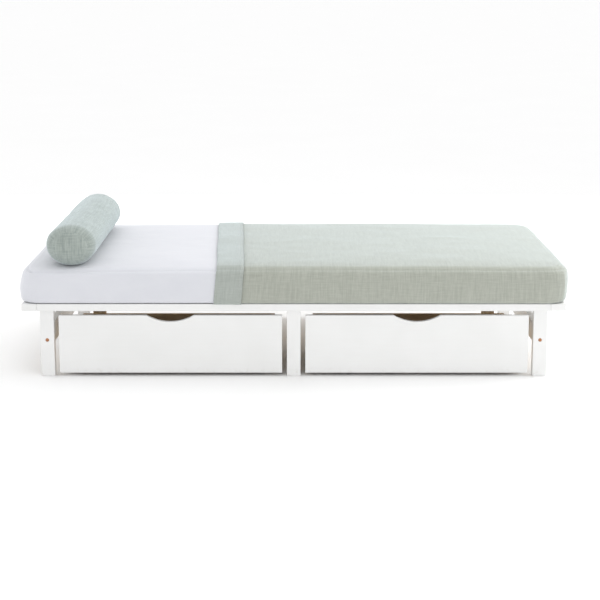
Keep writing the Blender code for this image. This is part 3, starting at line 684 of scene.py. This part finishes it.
def make_cover():
    """The linen cover: laid over the foot end, tucked in, its head edge turned down as a band."""
    body_xs = [x for x in X_TICKS if x > HEAD_EDGE + 0.004]
    turn = [(BAND_WIDTH * (1 - n / TURN_COLUMNS), BAND_LIFT) for n in range(TURN_COLUMNS)]
    fold = []
    for n in range(FOLD_STEPS + 1):
        angle = math.pi * n / FOLD_STEPS
        middle = (BAND_LIFT + COVER_LIFT) / 2
        radius = (BAND_LIFT - COVER_LIFT) / 2
        fold.append((-FOLD_REACH * math.sin(angle), middle + radius * math.cos(angle)))
    band_columns = len(turn) + FOLD_IN_BAND
    columns = [(HEAD_EDGE + dx, lift) for dx, lift in turn + fold]
    columns += [(x, COVER_LIFT) for x in body_xs]
    xs = [x for x, _ in columns]
    lifts = [lift for _, lift in columns]
    run = [0.0]
    for (x0, l0), (x1, l1) in zip(columns, columns[1:]):
        run.append(run[-1] + math.hypot(x1 - x0, l1 - l0))
    shift = HALF.x - run[-1]
    cloth_x = [value + shift for value in run]
    nx, ny, nz = len(xs) - 1, len(Y_TICKS) - 1, len(Z_TICKS) - 1
    faces = []
    girth = [(j, 0) for j in range(ny // 2, -1, -1) if abs(Y_TICKS[j]) >= HALF.y - TUCK]
    girth += [(0, k) for k in range(1, nz)]
    girth += [(j, nz) for j in range(ny + 1)]
    girth += [(ny, k) for k in range(nz - 1, 0, -1)]
    girth += [(j, 0) for j in range(ny, ny // 2, -1) if abs(Y_TICKS[j]) >= HALF.y - TUCK]
    along = [0.0]
    for (j0, k0), (j1, k1) in zip(girth, girth[1:]):
        along.append(along[-1] + math.dist((Y_TICKS[j0], Z_TICKS[k0]), (Y_TICKS[j1], Z_TICKS[k1])))
    middle = along[-1] / 2
    for i in range(nx):
        for n in range(len(girth) - 1):
            (j0, k0), (j1, k1) = girth[n], girth[n + 1]
            corners = [(i, j0, k0), (i + 1, j0, k0), (i + 1, j1, k1), (i, j1, k1)]
            v0, v1 = along[n] - middle, along[n + 1] - middle
            uv = [(cloth_x[i], v0), (cloth_x[i + 1], v0), (cloth_x[i + 1], v1), (cloth_x[i], v1)]
            faces.append((corners, uv))
    for j in range(ny):
        for k in range(nz):
            corners = [(nx, j, k), (nx, j + 1, k), (nx, j + 1, k + 1), (nx, j, k + 1)]
            uv = [(HALF.x + HALF.z - Z_TICKS[c], Y_TICKS[b]) for _, b, c in corners]
            faces.append((corners, uv))
    inner = [i for i in range(nx) if xs[i] >= HALF.x - TUCK and i > len(turn) + len(fold)]
    known = {frozenset(corners) for corners, _ in faces}
    for i in inner:
        for j in range(ny):
            corners = [(i, j + 1, 0), (i + 1, j + 1, 0), (i + 1, j, 0), (i, j, 0)]
            if frozenset(corners) in known:
                continue
            uv = [(2 * HALF.x + 2 * HALF.z - xs[a], Y_TICKS[b]) for a, b, _ in corners]
            faces.append((corners, uv))

    def place(keys):
        points = grid_points(keys, xs)
        z = points[:, 2] / HALF.z
        near = np.clip(1 - (points[:, 0] - HEAD_EDGE) / HEAD_LINE_REACH, 0, 1)
        near = near * near * (3 - 2 * near)
        layer = np.array([lifts[i] for i, _, _ in keys])
        banded = np.array([i < band_columns for i, _, _ in keys])
        top = np.clip(z, 0, 1) ** 6
        wall = np.clip(1 - z * z, 0, 1)
        soft = field(points, (3.4, 5.0, 6.0), 5)
        fine = field(points, (11.0, 14.0, 9.0), 6)
        hang = field(points, (6.5, 6.5, 1.1), 7)
        lift = layer + top * np.clip(0.0020 * soft + 0.0005 * fine + 0.0004, 0, 1)
        lift += wall * np.clip(0.0032 * hang + 0.0008 * fine + 0.0016, 0, 1)
        lift += banded * np.clip(0.0010 * field(points, (9.0, 9.0, 9.0), 8), 0, 1)
        free = np.array([i < FREE_COLUMNS for i, _, _ in keys])
        lift += free * FREE_EDGE_LIFT
        points[:, 0] += near * head_line(points)
        return on_mattress(points, lift)

    mesh = cloth_mesh("cover_cloth", faces, place)
    sage = linen("cover_linen", (0.475, 0.495, 0.435), (0.35, 0.365, 0.315))
    piece = new_piece("cover_cloth", mesh, "mattress", sage)
    band = linen("cover_band_linen", (0.465, 0.50, 0.465), (0.355, 0.385, 0.355), contrast=0.95,
                 hem=cloth_x[0] + 0.012)
    mesh.materials.append(band)
    for number, (corners, _) in enumerate(faces):
        if min(i for i, _, _ in corners) < band_columns:
            mesh.polygons[number].material_index = 1
    give_thickness(piece, COVER_THICKNESS, 0.0)
    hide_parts("cover")
    return piece, along[-1], run[-1]


def settle(piece, low, cap, frames=18, pressure=2.5):
    """A short cloth simulation under inner pressure; no point moves further than cap."""
    before = np.array([v.co for v in piece.data.vertices])
    cloth = piece.modifiers.new("filling", "CLOTH")
    cloth.settings.use_pressure = True
    cloth.settings.uniform_pressure_force = pressure
    cloth.settings.effector_weights.gravity = 0.0
    cloth.settings.tension_stiffness = 12.0
    cloth.settings.compression_stiffness = 9.0
    cloth.settings.shear_stiffness = 6.0
    cloth.settings.bending_stiffness = 0.6
    cloth.settings.quality = 5
    cloth.settings.mass = 0.25
    cloth.collision_settings.use_collision = False
    cloth.point_cache.frame_start = 1
    cloth.point_cache.frame_end = frames
    scene = bpy.context.scene
    for number in range(1, frames + 1):
        scene.frame_set(number)
    shape = piece.evaluated_get(bpy.context.evaluated_depsgraph_get())
    after = np.array([v.co for v in shape.data.vertices])
    piece.modifiers.remove(cloth)
    scene.frame_set(1)
    step = after - before
    length = np.linalg.norm(step, axis=1)
    step *= (np.minimum(length, cap) / np.maximum(length, 1e-9))[:, None]
    moved = before + step
    moved[:, 2] = np.maximum(moved[:, 2], low)
    piece.data.vertices.foreach_set("co", moved.ravel())
    piece.data.update()


def make_bolster():
    """A filled linen bolster: domed ends with a seam round each, flattened where it lies."""
    centre = (bolster_low + bolster_high) / 2
    centre -= Vector((BOLSTER_SHIFT_X, BOLSTER_END_PLAY, BOLSTER_SINK))
    radius = (bolster_high.z - bolster_low.z) / 2
    half = (bolster_high.y - bolster_low.y) / 2 - BOLSTER_END_PLAY
    around, rows, caps = 112, 80, 26
    seam_radius = SEAM_SHARE * radius
    profile, run = [], 0.0
    for n in range(caps + 1):
        angle = math.pi / 2 * n / caps
        r = radius * math.sin(angle) ** DOME_POWER
        h = half - DOME * (1 - max(math.cos(angle), 0.0) ** DOME_POWER)
        h -= SEAM_DEPTH * math.exp(-(((r - seam_radius) / SEAM_WIDTH) ** 2))
        if profile:
            run += math.hypot(r - profile[-1][0], h - profile[-1][1])
        profile.append((r, h, run))
    profile = [(r, h, half - DOME + run - s) for r, h, s in profile]
    straight = profile[-1][1]
    for n in range(1, rows):
        h = straight * (1 - 2 * n / rows)
        profile.append((radius, h, h))
    profile += [(r, -h, -s) for r, h, s in profile[: caps + 1][::-1]]
    bm = bmesh.new()
    uv_layer = bm.loops.layers.uv.new("cloth")
    rings = []
    for r, h, _ in profile:
        if r < 1e-6:
            rings.append([bm.verts.new((0.0, h, 0.0))])
            continue
        ring = []
        for a in range(around):
            angle = 2 * math.pi * a / around
            ring.append(bm.verts.new((r * math.cos(angle), h, r * math.sin(angle))))
        rings.append(ring)
    for number in range(len(rings) - 1):
        first, second = rings[number], rings[number + 1]
        s0, s1 = profile[number][2], profile[number + 1][2]
        end_cap = max(profile[number][0], profile[number + 1][0]) <= seam_radius + 1e-6
        for a in range(around):
            b = (a + 1) % around
            corners = [(first, a), (first, b), (second, b), (second, a)]
            if len(first) == 1:
                corners = [(first, 0), (second, b), (second, a)]
            elif len(second) == 1:
                corners = [(first, a), (first, b), (second, 0)]
            face = bm.faces.new([ring[i] for ring, i in corners])
            for loop, (ring, i) in zip(face.loops, corners):
                if end_cap:
                    loop[uv_layer].uv = (loop.vert.co.x + 0.6, loop.vert.co.z + 0.6)
                else:
                    turn = a + 1 if (i == b and len(ring) > 1) else a
                    s = s0 if ring is first else s1
                    loop[uv_layer].uv = (radius * 2 * math.pi * turn / around, s)
    bmesh.ops.recalc_face_normals(bm, faces=bm.faces)
    mesh = bpy.data.meshes.new("bolster_pad")
    bm.to_mesh(mesh)
    bm.free()
    for vertex in mesh.vertices:
        x, y, z = vertex.co
        r = math.hypot(x, z)
        if r < 1e-6:
            continue
        angle = math.atan2(z, x)
        near_end = math.exp(-(((half - abs(y)) / 0.045) ** 2))
        gather = 0.0006 * near_end * (r / radius) * (
            math.sin(angle * 17 + 1.3 * math.sin(angle * 3)) + 0.6 * math.sin(angle * 29 + 0.8))
        soft = noise.fractal(Vector((x * 9, y * 5.5, z * 9)), 0.8, 2.0, 3)
        grow = gather + 0.0022 * soft
        vertex.co.x += grow * x / r
        vertex.co.z += grow * z / r
        if vertex.co.z < -radius + REST_DEPTH:
            under = REST_KEPT * (vertex.co.z + radius - REST_DEPTH)
            vertex.co.z = max(vertex.co.z, -radius + REST_DEPTH + under)
    sage = linen("bolster_linen", (0.42, 0.468, 0.435), (0.285, 0.328, 0.305), contrast=1.6)
    piece = new_piece("bolster_pad", mesh, "bolster", sage)
    settle(piece, -radius + SETTLE_FLOOR, SETTLE_CAP)
    mesh.transform(Matrix.Translation(centre)
                   @ Matrix.Diagonal((BOLSTER_SPREAD, 1.0, BOLSTER_FLATTENED, 1.0)))
    subdivided = piece.modifiers.new("smooth", "SUBSURF")
    subdivided.levels = 1
    subdivided.render_levels = 1
    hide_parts("bolster")


make_mattress()
sheet, white_cotton = make_sheet()
hem = make_sheet_hem(white_cotton)
cover, cover_girth, cover_run = make_cover()
make_bolster()


# Small hardware: screws that hold the castor plates to the drawers' sides


def screw_mesh():
    """A plain pan head, its face towards +X and its seat at the origin."""
    bm = bmesh.new()
    outline = [(0.0, 0.0013), (0.0012, 0.00125), (0.0022, 0.0010), (0.0030, 0.0005), (0.0031, 0.0)]
    rings = []
    for r, h in outline:
        if r == 0:
            rings.append([bm.verts.new((h, 0, 0))])
            continue
        angles = [a * math.pi / (SCREW_SIDES / 2) for a in range(SCREW_SIDES)]
        rings.append([bm.verts.new((h, r * math.cos(a), r * math.sin(a))) for a in angles])
    for first, second in zip(rings, rings[1:]):
        for a in range(SCREW_SIDES):
            b = (a + 1) % SCREW_SIDES
            if len(first) == 1:
                bm.faces.new([first[0], second[a], second[b]])
            else:
                bm.faces.new([first[a], second[a], second[b], first[b]])
    bm.faces.new(rings[-1][::-1])
    mesh = bpy.data.meshes.new("castor_screw")
    bm.to_mesh(mesh)
    bm.free()
    return mesh


def add_screws():
    """Two screws in each castor plate, each head with a cross recess cut into it."""
    mesh = screw_mesh()
    mesh.materials.append(ZINC)
    recess = bpy.data.meshes.new("screw_recess")
    bm = bmesh.new()
    for size in ((0.0016, 0.0034, 0.0007), (0.0016, 0.0007, 0.0034)):
        made = bmesh.ops.create_cube(bm, size=1.0)["verts"]
        bmesh.ops.scale(bm, vec=Vector(size), verts=made)
        bmesh.ops.translate(bm, vec=Vector((0.0013, 0, 0)), verts=made)
    bm.to_mesh(recess)
    bm.free()
    cutter = linked("screw_recess", recess)
    sample = linked("screw_sample", mesh)
    hollow = sample.modifiers.new("recess", "BOOLEAN")
    hollow.operation = "DIFFERENCE"
    hollow.solver = "EXACT"
    hollow.use_self = True
    hollow.object = cutter
    bpy.context.view_layer.update()
    depsgraph = bpy.context.evaluated_depsgraph_get()
    shape = bpy.data.meshes.new_from_object(sample.evaluated_get(depsgraph))
    bpy.data.objects.remove(sample)
    bpy.data.objects.remove(cutter)
    for polygon in shape.polygons:
        polygon.use_smooth = False
    for hand in ("left", "right"):
        for end, along in (("head", -1), ("foot", 1)):
            for side in ("front", "back"):
                low, high = (Vector(v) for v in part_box(f"{hand}_castor_{end}_{side}"))
                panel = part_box(f"{hand}_drawer_{end}_side")
                face = (panel[1][0] if along > 0 else panel[0][0]) + along * SCREW_SEAT
                for n, dy in enumerate((-SCREW_SPREAD, SCREW_SPREAD)):
                    screw = linked(f"screw_{hand}_{end}_{side}_{n + 1}", shape)
                    turn = Matrix.Rotation(0 if along > 0 else math.pi, 4, "Z")
                    spin = Matrix.Rotation(0.4 + 1.1 * n, 4, "X")
                    spot = Vector((face, (low.y + high.y) / 2 + dy, high.z - SCREW_DROP))
                    screw.matrix_world = Matrix.Translation(spot) @ turn @ spin
                    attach(screw, f"{hand}_drawer")


add_screws()


# Stage, lights and camera

floor_mesh = bpy.data.meshes.new("studio_floor")
corners = ((-1, -1), (1, -1), (1, 1), (-1, 1))
corners = [(x * FLOOR_HALF, y * FLOOR_HALF, 0) for x, y in corners]
floor_mesh.from_pydata(corners, [], [(0, 1, 2, 3)])
floor = linked("studio_floor", floor_mesh)
floor.location.z = -FLOOR_DROP
f = Finish("studio_floor")
floor_tone = f.noise(1.2, detail=2.0)
floor_colour = f.mix(floor_tone, (0.95, 0.95, 0.95), (0.97, 0.97, 0.97))
floor_mesh.materials.append(f.done(floor_colour, f.spread(floor_tone, 0.3, 0.7, 0.8, 0.9)))

world = bpy.data.worlds.new("studio")
bpy.context.scene.world = world
world.use_nodes = True
backdrop = world.node_tree.nodes["Background"]
backdrop.inputs["Color"].default_value = (1.0, 1.0, 1.0, 1.0)
backdrop.inputs["Strength"].default_value = 0.83


def softbox(name, spot, target, size, power):
    """A rectangular area light at a spot, facing a target; size in metres, power in watts."""
    light = bpy.data.lights.new(name, "AREA")
    light.shape = "RECTANGLE"
    light.size, light.size_y = size
    light.energy = power
    lamp = linked(name, light)
    lamp.location = spot
    lamp.rotation_euler = (Vector(target) - Vector(spot)).to_track_quat("-Z", "Y").to_euler()


softbox("key_softbox", (1.8, 0.25, 1.75), (0.3, 0.0, 0.4), (1.6, 1.6), 17.0)
softbox("back_softbox", (0.0, 3.6, 0.7), (0.0, 0.0, 0.0), (3.4, 1.2), 26.0)
softbox("front_softbox", (2.2, -4.6, 1.3), (0.3, 0.0, 0.2), (1.2, 1.0), 15.0)
softbox("left_softbox", (-3.0, 0.5, 0.6), (-0.9, 0.0, 0.15), (1.6, 0.8), 8.0)
softbox("right_softbox", (3.0, 0.5, 0.6), (0.9, 0.0, 0.15), (1.6, 0.8), 9.0)
ceiling = bpy.data.lights.new("ceiling", "SUN")
ceiling.energy = 0.64
ceiling.angle = math.radians(100)
ceiling_lamp = linked("ceiling", ceiling)
ceiling_lamp.rotation_euler = (math.radians(-8), math.radians(8), 0.0)

camera_data = bpy.data.cameras.new("camera")
camera_data.sensor_width = 36.0
camera_data.lens = 81.22
camera_data.shift_x = 0.0102
camera_data.shift_y = -0.1805
camera_data.dof.use_dof = False
camera = linked("camera", camera_data)
camera.location = (0.0007, -5.2369, 1.4446)
camera.rotation_euler = (math.radians(90 - 9.0), 0.0, 0.0)
bpy.context.scene.camera = camera
bpy.context.scene.view_settings.view_transform = "Standard"
